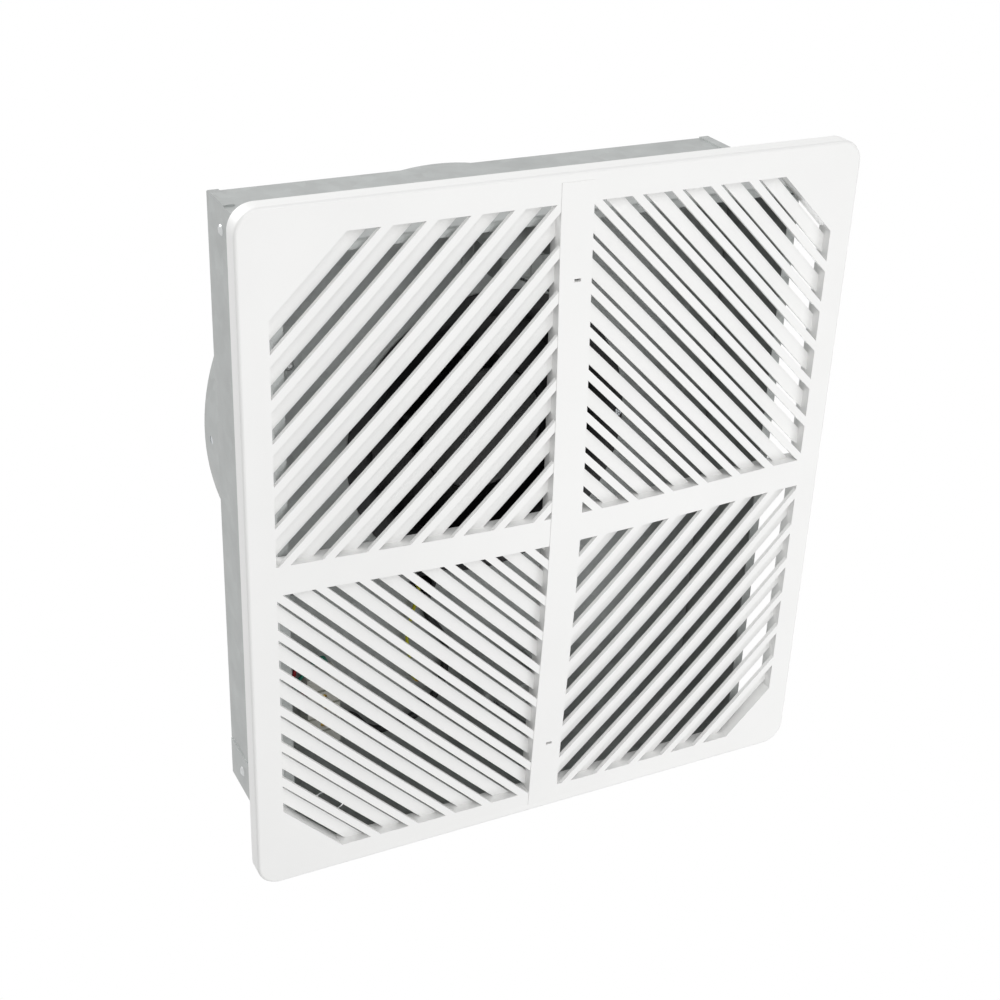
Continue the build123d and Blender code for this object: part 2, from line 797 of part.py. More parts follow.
# Grille layout in plan: four windows with cut corners round a cross, and slats at 45 degrees
window_x = {
    -1: (-grille_width / 2 + border_left, bar_shift_x - bar_width_x / 2),
    1: (bar_shift_x + bar_width_x / 2, grille_width / 2 - border_right),
}
window_y = {
    -1: (-grille_length / 2 + border_front, bar_shift_y - bar_width_y / 2),
    1: (bar_shift_y + bar_width_y / 2, grille_length / 2 - border_rear),
}
lattice_reach = first_slat + (slat_count + 1) * slat_pitch - front_slat_width / 2


def window_points(side_x: int, side_y: int) -> list[tuple[float, float]]:
    """The five corners of one window: a rectangle whose outer corner follows the slats."""
    near_x, far_x = sorted(window_x[side_x], key=abs)
    near_y, far_y = sorted(window_y[side_y], key=abs)
    diagonal = lattice_reach * sqrt(2)
    cut_y = side_y * (diagonal - side_x * (far_x - lattice_shift)) + lattice_shift
    cut_x = side_x * (diagonal - side_y * (far_y - lattice_shift)) + lattice_shift
    return [(near_x, near_y), (far_x, near_y), (far_x, cut_y), (cut_x, far_y), (near_x, far_y)]


def slat_places(first: float, count: int) -> list[Location]:
    """Places of one family of slats in all four quadrants, counted out from the centre."""
    places = []
    for side_x, side_y in QUADRANTS:
        for step in range(count):
            reach = (first + step * slat_pitch) / sqrt(2)
            spot = (lattice_shift + side_x * reach, lattice_shift + side_y * reach, 0)
            places.append(Location(spot, (0, 0, -45 * side_x * side_y)))
    return places


slat_run = 2 * lattice_reach
with BuildSketch() as windows:
    for side_x, side_y in QUADRANTS:
        with BuildLine():
            Polyline(*window_points(side_x, side_y), close=True)
        make_face()
with BuildSketch() as window_walls:
    add(windows.sketch)
    offset(amount=window_wall, kind=Kind.INTERSECTION)
    add(windows.sketch, mode=Mode.SUBTRACT)


def quadrant_slats(first: float, count: int, width: float) -> Sketch:
    """One family of slats, each kept inside its own window and its walls."""
    places = slat_places(first, count)
    with BuildSketch() as family:
        for index, (side_x, side_y) in enumerate(QUADRANTS):
            with BuildSketch(mode=Mode.PRIVATE) as window:
                with BuildLine():
                    Polyline(*window_points(side_x, side_y), close=True)
                make_face()
                offset(amount=window_wall / 2, kind=Kind.INTERSECTION)
            with BuildSketch(mode=Mode.PRIVATE) as strips:
                with Locations(*places[index * count : (index + 1) * count]):
                    Rectangle(slat_run, width)
                add(window.sketch, mode=Mode.INTERSECT)
            add(strips.sketch)
    return family.sketch


def slots_at(places: tuple[float, float]) -> Sketch:
    """The two small release slots in the central band."""
    with BuildSketch() as slots:
        with Locations(*[(lattice_shift, place) for place in places]):
            Rectangle(release_slot_length, release_slot_width)
    return slots.sketch


post_x = lattice_shift
spring_places = (
    release_slot_front + spring_ear_width,
    release_slot_rear - spring_ear_width,
)
coil_length = spring_turns * spring_pitch + spring_wire
ear_gap = coil_length / 2 + spring_side_gap
ear_reach = 2 * (ear_gap + spring_ear)

with BuildPart() as grille:
    # Front layer: border, cross and narrow slats
    with BuildSketch(Plane.XY.offset(face_z - 2 * crown_rise)):
        Rectangle(crown_width, crown_length)
        add(windows.sketch, mode=Mode.SUBTRACT)
        add(quadrant_slats(first_slat + slat_pitch, slat_count, front_slat_width))
        add(slots_at((release_slot_front, release_slot_rear)), mode=Mode.SUBTRACT)
    extrude(amount=4 * crown_rise)
    add(crown_slab(0, skin), mode=Mode.INTERSECT)
    # Rear layer: wide slats between the windows' walls
    with BuildPart(mode=Mode.PRIVATE) as rear_layer:
        with BuildSketch(Plane.XY.offset(face_z - 2 * crown_rise)):
            add(quadrant_slats(first_slat + slat_pitch / 2, slat_count + 1, rear_slat_width))
        extrude(amount=4 * crown_rise)
        add(crown_slab(rear_slat_level, skin), mode=Mode.INTERSECT)
    with BuildPart(mode=Mode.PRIVATE) as wall_layer:
        with BuildSketch(Plane.XY.offset(face_z - 2 * crown_rise)):
            add(window_walls.sketch)
        extrude(amount=4 * crown_rise)
        add(crown_slab(skin / 2, window_wall_depth - skin / 2), mode=Mode.INTERSECT)
    add(wall_layer.part)
    add(rear_layer.part)
    # Central band, a little proud of the face from border to border
    with BuildPart(mode=Mode.PRIVATE) as band_layer:
        with BuildSketch(Plane.XY.offset(face_z - 2 * crown_rise)):
            with Locations((bar_shift_x, 0)):
                Rectangle(bar_width_x, crown_length)
            add(slots_at((release_slot_front, release_slot_rear)), mode=Mode.SUBTRACT)
        extrude(amount=4 * crown_rise)
        add(crown_slab(-band_proud, band_proud + skin / 2), mode=Mode.INTERSECT)
    add(band_layer.part)
    # Rim: flat border strip and the wall that rests on the ceiling
    with BuildPart(mode=Mode.PRIVATE) as rim:
        with BuildSketch(Plane.XY.offset(face_z)):
            RectangleRounded(grille_width, grille_length, corner_radius)
        extrude(amount=rim_depth)
        fillet(rim.faces().sort_by(Axis.Z)[0].edges(), rim_round)
        with BuildSketch(Plane.XY.offset(face_z + skin)):
            RectangleRounded(grille_width - 2 * skin, grille_length - 2 * skin, corner_radius - skin)
        extrude(amount=rim_depth - skin, mode=Mode.SUBTRACT)
        with BuildSketch(Plane.XY.offset(face_z)):
            Rectangle(crown_width, crown_length)
        extrude(amount=skin, mode=Mode.SUBTRACT)
    add(rim.part)
    # Ears and pin for each torsion spring, on the back of the central bar
    for place in spring_places:
        pin_z = face_z - crown(post_x, place) + skin + spring_lift
        with BuildSketch(Plane.XY.offset(pin_z - spring_lift - skin / 2)):
            with Locations((post_x, place)):
                Rectangle(spring_ear_width, ear_reach)
                Rectangle(spring_ear_width, 2 * ear_gap, mode=Mode.SUBTRACT)
        extrude(amount=spring_lift + skin / 2 + spring_post_radius + spring_ear / 2)
        with BuildSketch(Plane.XZ.offset(-place - ear_gap - spring_ear / 2)):
            with Locations((post_x, pin_z)):
                Circle(spring_post_radius)
        extrude(amount=2 * ear_gap + spring_ear)
grille.part.position = (grille_shift_x, grille_shift_y, 0)
save(grille.part, "grille")

# Torsion springs: a coil on the grille's pin and two legs leaning apart, up through the bracket
spring_top = deck_height - spring_top_gap
bracket_z = deck_height - bracket_drop
for name, place in (("grille_spring_front", spring_places[0]), ("grille_spring_rear", spring_places[1])):
    pin_z = face_z - crown(post_x, place) + skin + spring_lift
    centre = Vector(post_x + grille_shift_x, place + grille_shift_y, pin_z)
    span = spring_turns * spring_pitch
    lean = radians(spring_lean)
    # The wire comes down the left leg, winds round the pin and goes up the right leg
    turns = spring_turns - 0.5 - 2 * spring_lean / 360
    coil_start = Plane(
        centre + Vector(0, span / 2, 0), x_dir=(-cos(lean), 0, -sin(lean)), z_dir=(0, -1, 0)
    )
    rise = (spring_top - pin_z) / cos(lean)
    with BuildPart() as grille_spring:
        coil = Helix(span / turns, span, spring_coil_radius, mode=Mode.PRIVATE)
        coil = coil.moved(coil_start.location)
        with BuildSketch(Plane(coil @ 0, z_dir=coil % 0)):
            Circle(spring_wire / 2)
        sweep(path=coil, is_frenet=True)
        for end, side in ((coil @ 0, -1), (coil @ 1, 1)):
            with BuildSketch(Plane(end, z_dir=(side * sin(lean), 0, cos(lean)))):
                Circle(spring_wire / 2)
            extrude(amount=rise)
            with Locations(end):
                Sphere(spring_knee)
    save(grille_spring.part, name)

# Spring brackets: folded strips under the deck, each with two long slots for the spring's legs
for name, place in (("spring_bracket_front", spring_places[0]), ("spring_bracket_rear", spring_places[1])):
    bracket_x = post_x + grille_shift_x
    bracket_y = place + grille_shift_y
    with BuildPart() as spring_bracket:
        with BuildSketch(Plane.XZ.offset(-bracket_y - bracket_depth / 2)):
            with BuildLine():
                FilletPolyline(
                    (bracket_x - bracket_width / 2 - bracket_foot, deck_height),
                    (bracket_x - bracket_width / 2, deck_height),
                    (bracket_x - bracket_width / 2, bracket_z),
                    (bracket_x + bracket_width / 2, bracket_z),
                    (bracket_x + bracket_width / 2, deck_height),
                    (bracket_x + bracket_width / 2 + bracket_foot, deck_height),
                    radius=fold_radius,
                )
                offset(amount=sheet, side=Side.RIGHT)
            make_face()
        extrude(amount=bracket_depth)
        with BuildSketch(Plane.XY.offset(bracket_z - 2 * sheet)):
            for side in (-1, 1):
                reach = bracket_slot_outer - bracket_slot_inner
                with Locations((bracket_x + side * (bracket_slot_inner + reach / 2), bracket_y)):
                    Rectangle(reach, bracket_slot_width)
        extrude(amount=4 * sheet, mode=Mode.SUBTRACT)
    save(spring_bracket.part, name)

# Terminal block under the deck: poles parted by grooves, a clamp screw in each
pole_pitch = block_length / block_poles
pole_places = [block_y + pole_pitch * (pole - (block_poles - 1) / 2) for pole in range(block_poles)]
with BuildPart() as terminal_block:
    with BuildSketch(Plane.XY.offset(deck_height)):
        with Locations((block_x, block_y)):
            Rectangle(block_width, block_length)
    extrude(amount=-block_height)
    with BuildSketch(Plane.XY.offset(block_bottom)):
        with Locations(*[(block_x, place + pole_pitch / 2) for place in pole_places[:-1]]):
            Rectangle(block_width, pole_pitch * 0.14)
    extrude(amount=block_height * 0.4, mode=Mode.SUBTRACT)
    with BuildSketch(Plane.XY.offset(block_bottom)):
        with Locations(*[(block_x, place) for place in pole_places]):
            Circle(block_screw_radius + hole_clearance)
    extrude(amount=block_height * 0.5, mode=Mode.SUBTRACT)
save(terminal_block.part, "terminal_block")

with BuildPart() as terminal_screws:
    with BuildSketch(Plane.XY.offset(block_bottom + block_height * 0.5)):
        with Locations(*[(block_x, place) for place in pole_places]):
            Circle(block_screw_radius)
    extrude(amount=-block_height * 0.4)
    with BuildSketch(Plane.XY.offset(block_bottom + block_height * 0.1)):
        with Locations(*[(block_x, place) for place in pole_places]):
            Rectangle(2 * block_screw_radius, block_screw_radius * 0.3, rotation=35)
    extrude(amount=block_screw_radius * 0.4, mode=Mode.SUBTRACT)
save(terminal_screws.part, "terminal_screws")

# Grommet in the deck's cable hole
with BuildPart() as deck_grommet:
    with BuildSketch(Plane.XZ):
        with BuildLine():
            bore = grommet_radius - 2 * grommet_lip
            neck = grommet_radius - grommet_lip
            Polyline(
                (bore, deck_height - grommet_lip),
                (grommet_radius, deck_height - grommet_lip),
                (grommet_radius, deck_height),
                (neck, deck_height),
                (neck, deck_top),
                (grommet_radius, deck_top),
                (grommet_radius, deck_top + grommet_lip),
                (bore, deck_top + grommet_lip),
                close=True,
            )
        make_face()
    revolve(axis=Axis.Z)
deck_grommet.part.position = (grommet_x, grommet_y, 0)
save(deck_grommet.part, "deck_grommet")


def bend_radii(points: list[tuple[float, float, float]]) -> list[float]:
    """One bend radius for each inner corner of a route, as large as its two runs allow."""
    corners = [Vector(*point) for point in points]
    radii = []
    for before, here, after in zip(corners, corners[1:], corners[2:]):
        turn = (here - before).get_angle(after - here)
        run = min((here - before).length, (after - here).length)
        radii.append(0.45 * run / tan(radians(turn) / 2))
    return radii


def add_wire(points: list[tuple[float, float, float]], radius: float) -> None:
    """Sweeps one round wire along a route of straight runs joined by tangent arcs."""
    with BuildLine() as route:
        FilletPolyline(*points, radius=bend_radii(points))
    start = route.wires()[0]
    with BuildSketch(Plane(start @ 0, z_dir=start % 0)) as section:
        Circle(radius)
    sweep(section.sketch, path=start)


# Motor cable: from the motor's boss along a spider arm, down the drum, through the grommet, to the block
arm = Vector(cos(radians(spider_turn + 90)), sin(radians(spider_turn + 90)))
over_arm_z = spider_top + cable_radius + cable_gap
drop_place = cable_slot_place + 3
low_z = deck_top + sheet + cable_radius + 1.5
entry = Vector(grommet_x + 1.4, grommet_y)


def on_arm(radius: float, z: float) -> tuple[float, float, float]:
    """A point over the spider arm that carries the motor cable."""
    return (arm.X * radius, axis_y + arm.Y * radius, z)


cable_route = [
    on_arm(cable_boss / 2, over_arm_z),
    on_arm(drop_place, over_arm_z),
    on_arm(drop_place, spider_top - 22),
    on_arm(drop_place - 2, low_z + 8),
    on_arm(drop_place - 16, low_z),
    (entry.X, entry.Y, low_z + 1.5),
    (entry.X, entry.Y, cable_z - 2),
    (-47.0, 94.0, cable_z - 1),
    (-34.0, 113.0, cable_z - 2),
    (-30.0, 134.0, cable_z - 1),
    (-35.0, 158.0, cable_z - 3),
    (-56.0, 180.0, cable_z - 2),
    (-90.0, 182.0, cable_z - 3),
    (block_x + block_width / 2 + 12, 161.0, cable_z - 4),
    (block_x + block_width / 2 + wire_gap, 161.0, cable_z - 4),
]
with BuildPart() as motor_cable:
    add_wire(cable_route, cable_radius)
save(motor_cable.part, "motor_cable")

# Earth wire: from the grommet over the deck to the earth screw
earth_route = [
    (grommet_x - 4.2, grommet_y, deck_top + grommet_lip),
    (grommet_x - 4.4, grommet_y + 0.3, deck_height - 5),
    (-57.0, 88.0, wire_z - 3),
    (-62.0, 107.0, wire_z - 2),
    (-61.0, 125.0, wire_z - 8),
    (-59.0, 139.0, wire_z - 6),
    (earth_screw_x - screw_head_radius - 1, earth_screw_y - 0.8, deck_height - sheet - wire_radius - 0.1),
]
with BuildPart() as earth_wire:
    add_wire(earth_route, wire_radius)
save(earth_wire.part, "earth_wire")

# Earth screw and its ring lug
with BuildPart() as earth_screw:
    add_screw(
        Plane((earth_screw_x, earth_screw_y, deck_height - sheet), x_dir=(1, 0, 0), z_dir=(0, 0, -1)),
        2 * sheet,
    )
save(earth_screw.part, "earth_screw")
with BuildPart() as earth_lug:
    with BuildSketch(Plane.XY.offset(deck_height - sheet)):
        with Locations((earth_screw_x, earth_screw_y)):
            Circle(screw_head_radius + 1)
            Circle(screw_shank_radius + hole_clearance, mode=Mode.SUBTRACT)
    extrude(amount=sheet)
save(earth_lug.part, "earth_lug")

# Short link wires looped at the block's front end
for name, shift, reach, drop in (("link_wire_red", -6.0, 13.0, 0.0), ("link_wire_green", 5.0, 17.0, 4.0)):
    end_y = block_y - block_length / 2
    link_z = block_bottom + block_height * 0.45
    with BuildPart() as link_wire:
        add_wire(
            [
                (block_x + shift, end_y - wire_gap, link_z),
                (block_x + shift, end_y - reach * 0.4, link_z),
                (block_x + shift - 5, end_y - reach, link_z - 2 - drop),
                (block_x + shift - 13, end_y - reach * 0.7, link_z - 2 - drop),
                (block_x - block_width / 2 - 4 - reach * 0.3, end_y + 3, link_z - 1 - drop),
                (block_x - block_width / 2 - 6, end_y + 2 + reach, link_z - drop / 2),
                (block_x - block_width / 2 - wire_gap, end_y + 2 + reach, link_z - drop / 2),
            ],
            wire_radius,
        )
    save(link_wire.part, name)
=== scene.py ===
"""Finishes, lamps and camera for the ceiling exhaust fan.

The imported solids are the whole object, in metres, with +Z up into the ceiling space and the grille
facing -Z. Every solid keeps its shape, and this script dresses it: moulded styrene, zinc-coated
sheet, plated fasteners, black nylon, enamel, aluminium, brass, rubber and PVC.
"""

from __future__ import annotations

import json
import logging
from dataclasses import dataclass, field
from enum import Enum
from typing import Any, Mapping

import bpy
from mathutils import Matrix, Vector


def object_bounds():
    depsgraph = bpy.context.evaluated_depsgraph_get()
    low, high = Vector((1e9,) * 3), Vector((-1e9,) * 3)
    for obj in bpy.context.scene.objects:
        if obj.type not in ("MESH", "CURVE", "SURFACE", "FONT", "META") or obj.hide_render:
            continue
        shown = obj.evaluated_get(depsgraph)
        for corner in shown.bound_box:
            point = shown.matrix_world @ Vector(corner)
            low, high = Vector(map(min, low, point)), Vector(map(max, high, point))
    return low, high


LOG = logging.getLogger("exhaust_fan")
MM = 0.001
WHITE = (1.0, 1.0, 1.0, 1.0)

# The sRGB curve: a straight toe up to the knee, then a power
SRGB_KNEE = 0.04045
SRGB_TOE = 12.92
SRGB_OFFSET = 0.055
SRGB_POWER = 2.4

# A slow noise field: its octaves, the weight of each finer one, and the range that it mostly keeps to
NOISE_DETAIL = 3.0
NOISE_ROUGHNESS = 0.55
NOISE_LOW = 0.3
NOISE_HIGH = 0.7

# How far pale patches differ from the mean, as a share of how far dark ones do
PALE_SHARE = 0.5

# The size of the patches of gloss, as a share of those of colour
GLOSS_SHARE = 0.6

# The sockets of a Mix node that mixes colours
MIX_FACTOR = 0
MIX_FIRST = 6
MIX_SECOND = 7
MIX_RESULT = 2

Tree = bpy.types.NodeTree
Socket = bpy.types.NodeSocket
Colour = tuple[float, float, float, float]

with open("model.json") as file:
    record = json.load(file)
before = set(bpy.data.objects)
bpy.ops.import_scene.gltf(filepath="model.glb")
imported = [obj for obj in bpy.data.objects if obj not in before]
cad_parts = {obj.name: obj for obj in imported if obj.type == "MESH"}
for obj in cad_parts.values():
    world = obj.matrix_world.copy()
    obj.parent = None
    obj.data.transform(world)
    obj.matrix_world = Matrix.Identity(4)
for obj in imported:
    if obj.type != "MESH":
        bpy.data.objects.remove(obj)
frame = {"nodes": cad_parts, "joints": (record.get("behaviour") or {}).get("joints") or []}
cad_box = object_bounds()


class Axis(Enum):
    """The way a pattern is drawn out, as the scale that each axis gets."""

    ALL = (1.0, 1.0, 1.0)
    ALONG_X = (0.06, 1.0, 1.0)


def linear(hex_colour: str) -> Colour:
    """Turns an sRGB hex colour to linear.

    Args:
        hex_colour: Six hex digits after a hash sign.

    Returns:
        Red, green, blue and an alpha of 1.
    """
    parts = [int(hex_colour[start : start + 2], 16) / 255 for start in (1, 3, 5)]
    red, green, blue = (
        part / SRGB_TOE
        if part <= SRGB_KNEE
        else ((part + SRGB_OFFSET) / (1.0 + SRGB_OFFSET)) ** SRGB_POWER
        for part in parts
    )
    return (red, green, blue, 1.0)


def add_node(
    tree: Tree,
    kind: str,
    settings: Mapping[str | int, Any] | None = None,
    links: Mapping[str | int, Socket] | None = None,
) -> bpy.types.Node:
    """Adds one node to a tree.

    Args:
        tree: The material's or the world's node tree.
        kind: The node's Blender type.
        settings: Values by property name, or by input name, or by number where inputs share a name.
        links: Sockets to plug in, by input name or number.

    Returns:
        The new node.
    """
    node = tree.nodes.new(kind)
    for key, value in (settings or {}).items():
        if isinstance(key, str) and hasattr(node, key):
            setattr(node, key, value)
        else:
            node.inputs[key].default_value = value
    for key, source in (links or {}).items():
        tree.links.new(source, node.inputs[key])
    return node


def per_metre(size_mm: float) -> float:
    """The texture scale that gives a pattern of one real size in millimetres."""
    return 1.0 / (size_mm * MM)


@dataclass(frozen=True)
class Finish:
    """What every surface shares: a shader, a place pattern, a fine relief and some unevenness.

    Attributes:
        name: The material's name.
        colour: Its sRGB hex colour.
        roughness: Its mean roughness.
        metallic: 1 for bare metal, 0 for plastic, between for metal under a dull coat.
        ior: The index of refraction of a plastic or a paint.
        relief_mm: The size of the fine relief.
        relief: How strong the relief is.
        relief_axis: The way the relief is drawn out.
        mottle_mm: The size of slow changes over the surface.
        mottle: How far the colour changes, as a share of itself.
        sheen_change: How far the roughness changes either way.
    """

    name: str
    colour: str
    roughness: float
    metallic: float = 0.0
    ior: float = 1.5
    relief_mm: float = 0.8
    relief: float = 0.05
    relief_axis: Axis = Axis.ALL
    mottle_mm: float = 30.0
    mottle: float = 0.03
    sheen_change: float = 0.04

    def build(self) -> bpy.types.Material:
        """Makes the material.

        Returns:
            The finished material.
        """
        material = bpy.data.materials.new(self.name)
        material.use_nodes = True
        tree = material.node_tree
        tree.nodes.clear()
        place = add_node(tree, "ShaderNodeTexCoord").outputs["Object"]
        colour = self.paint(tree, place)
        shader = add_node(
            tree,
            "ShaderNodeBsdfPrincipled",
            {"Metallic": self.metallic, "IOR": self.ior},
            {
                "Base Color": colour,
                "Roughness": self.gloss(tree, place),
                "Normal": self.surface(tree, place),
            },
        )
        add_node(tree, "ShaderNodeOutputMaterial", links={"Surface": shader.outputs["BSDF"]})
        return material

    def drift(self, tree: Tree, place: Socket, size_mm: float) -> Socket:
        """Adds a slow random field.

        Args:
            tree: The material's node tree.
            place: The place on the object.
            size_mm: The size of the field's patches.

        Returns:
            The field, from 0 to 1.
        """
        noise = add_node(
            tree,
            "ShaderNodeTexNoise",
            {"Scale": per_metre(size_mm), "Detail": NOISE_DETAIL, "Roughness": NOISE_ROUGHNESS},
            {"Vector": place},
        )
        return noise.outputs["Fac"]

    def spread(self, tree: Tree, source: Socket, low: float, high: float) -> Socket:
        """Maps the range that a slow random field mostly keeps to.

        Args:
            tree: The material's node tree.
            source: The field.
            low: The value at the low end of that range.
            high: The value at its high end.

        Returns:
            The mapped value.
        """
        mapped = add_node(
            tree,
            "ShaderNodeMapRange",
            {"From Min": NOISE_LOW, "From Max": NOISE_HIGH, "To Min": low, "To Max": high},
            {"Value": source},
        )
        return mapped.outputs["Result"]

    def tint(self, tree: Tree, colour: Socket | None, strength: Socket) -> Socket:
        """Multiplies the colour by a grey level.

        Args:
            tree: The material's node tree.
            colour: The colour to change, or None for the finish's own.
            strength: The grey level, near 1.

        Returns:
            The changed colour.
        """
        mix = add_node(
            tree,
            "ShaderNodeMix",
            {
                "data_type": "RGBA",
                "blend_type": "MULTIPLY",
                MIX_FACTOR: 1.0,
                MIX_FIRST: linear(self.colour),
            },
            {MIX_SECOND: strength},
        )
        if colour is not None:
            tree.links.new(colour, mix.inputs[MIX_FIRST])
        return mix.outputs[MIX_RESULT]

    def paint(self, tree: Tree, place: Socket) -> Socket:
        """Adds the colour over the surface, in slow patches.

        Args:
            tree: The material's node tree.
            place: The place on the object.

        Returns:
            The colour.
        """
        patches = self.drift(tree, place, self.mottle_mm)
        palest = 1.0 + self.mottle * PALE_SHARE
        level = self.spread(tree, patches, 1.0 - self.mottle, palest)
        return self.tint(tree, None, level)

    def gloss(self, tree: Tree, place: Socket) -> Socket:
        """Adds the roughness over the surface, in smaller patches.

        Args:
            tree: The material's node tree.
            place: The place on the object.

        Returns:
            The roughness.
        """
        patches = self.drift(tree, place, self.mottle_mm * GLOSS_SHARE)
        low = self.roughness - self.sheen_change
        return self.spread(tree, patches, low, self.roughness + self.sheen_change)

    def surface(self, tree: Tree, place: Socket) -> Socket:
        """Adds the fine relief.

        Args:
            tree: The material's node tree.
            place: The place on the object.

        Returns:
            The relief, as a normal.
        """
        drawn = add_node(
            tree, "ShaderNodeMapping", {"Scale": self.relief_axis.value}, {"Vector": place}
        )
        height = self.drift(tree, drawn.outputs["Vector"], self.relief_mm)
        bump = add_node(
            tree,
            "ShaderNodeBump",
            {"Strength": self.relief, "Distance": self.relief_mm * MM},
            {"Height": height},
        )
        return bump.outputs["Normal"]


@dataclass(frozen=True)
class ZincSheet(Finish):
    """Hot-dip galvanised steel sheet: crystals of zinc, each with its own grey, under a dull bloom.

    Attributes:
        spangle_mm: The size of one crystal.
        spangle: How far one crystal's grey differs from the next.
        waver_size: The size of the waves in the crystals' borders, as a share of a crystal.
        waver_reach: How far those waves move the borders, as a share of a crystal.
        waver_detail: The octaves of those waves.
    """

    spangle_mm: float = 9.0
    spangle: float = 0.06
    waver_size: float = 0.5
    waver_reach: float = 0.5
    waver_detail: float = 2.0

    def crystals(self, tree: Tree, place: Socket) -> Socket:
        """Adds the zinc crystals, with wavering borders.

        Args:
            tree: The material's node tree.
            place: The place on the object.

        Returns:
            One random value from 0 to 1 for each crystal.
        """
        waver = add_node(
            tree,
            "ShaderNodeTexNoise",
            {"Scale": per_metre(self.spangle_mm * self.waver_size), "Detail": self.waver_detail},
            {"Vector": place},
        )
        shift = add_node(
            tree,
            "ShaderNodeVectorMath",
            {"operation": "SCALE", "Scale": self.spangle_mm * MM * self.waver_reach},
            {0: waver.outputs["Color"]},
        )
        moved = add_node(
            tree,
            "ShaderNodeVectorMath",
            {"operation": "ADD"},
            {0: place, 1: shift.outputs["Vector"]},
        )
        cells = add_node(
            tree,
            "ShaderNodeTexVoronoi",
            {"Scale": per_metre(self.spangle_mm)},
            {"Vector": moved.outputs["Vector"]},
        )
        grey = add_node(
            tree, "ShaderNodeSeparateColor", links={"Color": cells.outputs["Color"]}
        )
        return grey.outputs["Red"]

    def paint(self, tree: Tree, place: Socket) -> Socket:
        """Adds the colour: crystals over a cloudy bloom.

        Args:
            tree: The material's node tree.
            place: The place on the object.

        Returns:
            The colour.
        """
        cloudy = super().paint(tree, place)
        palest = 1.0 + self.spangle * PALE_SHARE
        grey = add_node(
            tree,
            "ShaderNodeMapRange",
            {"To Min": 1.0 - self.spangle, "To Max": palest},
            {"Value": self.crystals(tree, place)},
        )
        return self.tint(tree, cloudy, grey.outputs["Result"])

    def gloss(self, tree: Tree, place: Socket) -> Socket:
        """Adds the roughness: each crystal mirrors a little more or less than the next.

        Args:
            tree: The material's node tree.
            place: The place on the object.

        Returns:
            The roughness.
        """
        low = self.roughness - self.sheen_change
        mapped = add_node(
            tree,
            "ShaderNodeMapRange",
            {"To Min": low, "To Max": self.roughness + self.sheen_change},
            {"Value": self.crystals(tree, place)},
        )
        return mapped.outputs["Result"]


@dataclass(frozen=True)
class StripedPvc(Finish):
    """Two-colour wire cover: the stripe lies along the side of the wire that faces +X.

    Attributes:
        stripe: The stripe's sRGB hex colour.
        stripe_edge: The slope of the surface at which the stripe begins.
        stripe_softness: How much slope the change of colour takes.
    """

    stripe: str = "#2E7D3A"
    stripe_edge: float = 0.45
    stripe_softness: float = 0.05

    def paint(self, tree: Tree, place: Socket) -> Socket:
        """Adds the main colour with the stripe over it.

        Args:
            tree: The material's node tree.
            place: The place on the object.

        Returns:
            The colour.
        """
        main_colour = super().paint(tree, place)
        geometry = add_node(tree, "ShaderNodeNewGeometry")
        slope = add_node(
            tree, "ShaderNodeSeparateXYZ", links={"Vector": geometry.outputs["Normal"]}
        )
        full = self.stripe_edge + self.stripe_softness
        edge = add_node(
            tree,
            "ShaderNodeMapRange",
            {"From Min": self.stripe_edge, "From Max": full},
            {"Value": slope.outputs["X"]},
        )
        mix = add_node(
            tree,
            "ShaderNodeMix",
            {"data_type": "RGBA", MIX_SECOND: linear(self.stripe)},
            {MIX_FACTOR: edge.outputs["Result"], MIX_FIRST: main_colour},
        )
        return mix.outputs[MIX_RESULT]


@dataclass
class Dresser:
    """Gives CAD nodes their finishes, and reports each.

    Attributes:
        nodes: The CAD nodes by name.
        made: The materials made so far, by name.
    """

    nodes: Mapping[str, bpy.types.Object]
    made: dict[str, bpy.types.Material] = field(default_factory=dict)

    def dress(self, finish: Finish, *names: str) -> None:
        """Puts one finish on some nodes.

        Args:
            finish: The finish.
            names: The CAD nodes that get it.
        """
        if finish.name not in self.made:
            self.made[finish.name] = finish.build()
        for name in names:
            for slot in self.nodes[name].material_slots:
                slot.material = self.made[finish.name]
            LOG.info("%s: %s", name, finish.name)


# Zinc-coated sheet: mid grey, dull enough that a wall in the shade darkens, with soft crystals
ZINC_SHEET = ZincSheet(
    "zinc_coated_sheet",
    "#B1B4B3",
    0.42,
    metallic=0.4,
    relief_mm=1.4,
    relief=0.03,
    relief_axis=Axis.ALONG_X,
    mottle_mm=26.0,
    mottle=0.1,
    sheen_change=0.09,
    spangle=0.13,
)


@dataclass
class Housing:
    """The folded sheet box, the deck inside it and what fastens them.

    Attributes:
        sheet_nodes: The pieces of zinc-coated sheet.
        rivet_nodes: The plated rivets at the box's corners.
        rivets: The rivets' finish.
    """

    sheet_nodes: tuple[str, ...] = (
        "housing_wrap",
        "side_panel_left",
        "side_panel_right",
        "fan_deck",
        "spring_bracket_front",
        "spring_bracket_rear",
    )
    rivet_nodes: tuple[str, ...] = ("corner_rivets",)
    rivets: Finish = Finish(
        # Plated steel, headed cold: brighter and smoother than the sheet, a little stained
        "plated_rivet_steel",
        "#C9CBCB",
        0.3,
        metallic=1.0,
        relief_mm=0.5,
        relief=0.06,
        mottle_mm=2.0,
        mottle=0.08,
        sheen_change=0.08,
    )

    def dress(self, dresser: Dresser) -> None:
        """Dresses the box, the deck, the brackets and the corner rivets."""
        dresser.dress(ZINC_SHEET, *self.sheet_nodes)
        dresser.dress(self.rivets, *self.rivet_nodes)


